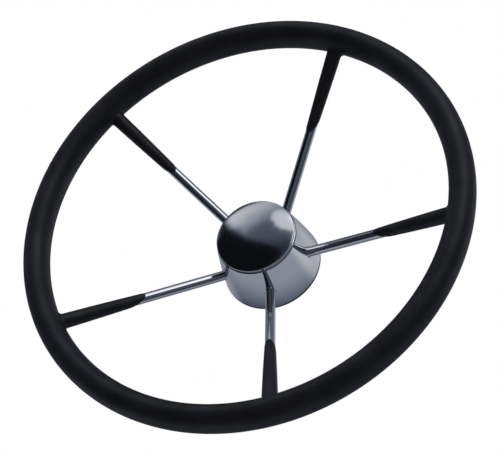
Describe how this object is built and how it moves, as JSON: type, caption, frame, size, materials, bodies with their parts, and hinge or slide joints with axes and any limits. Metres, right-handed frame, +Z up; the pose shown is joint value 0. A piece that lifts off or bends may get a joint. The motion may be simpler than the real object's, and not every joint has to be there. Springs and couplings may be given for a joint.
{
  "type": "boat steering wheel",
  "caption": "Dished steering wheel for a boat: round foam grip, straight polished spokes, bell-shaped hub with a tapered bore and a lift-off domed cap.",
  "frame": {"origin": "centre of the mouth of the tapered shaft bore, at the back of the hub", "axes": "+Y along the wheel axis, away from the driver, the way the shaft leaves; +Z up, with one spoke pointing straight down"},
  "size_m": [0.394, 0.1037, 0.394],
  "materials": {
    "polished_steel": "mirror polished",
    "turned_steel": "turned",
    "foam": "fine grained satin skin",
    "plug_plastic": "moulded",
    "ring_rubber": "smooth"
  },
  "bodies": {
    "wheel": {"rim_tube": "turned_steel", "grip": "foam", "spoke_1": "polished_steel", "spoke_2": "polished_steel", "spoke_3": "polished_steel", "spoke_4": "polished_steel", "spoke_5": "polished_steel", "hub_shell": "polished_steel", "hub_core": "turned_steel", "shaft_washer": "turned_steel", "shaft_nut": "turned_steel"},
    "cap": {"cap_dome": "polished_steel", "cap_plug": "plug_plastic", "cap_o_ring": "ring_rubber"}
  },
  "joints": [
    {"name": "cap_pull", "type": "slide", "parent": "wheel", "child": "cap", "axis": [0, -1, 0], "range_m": [0, 0.08]}
  ]
}
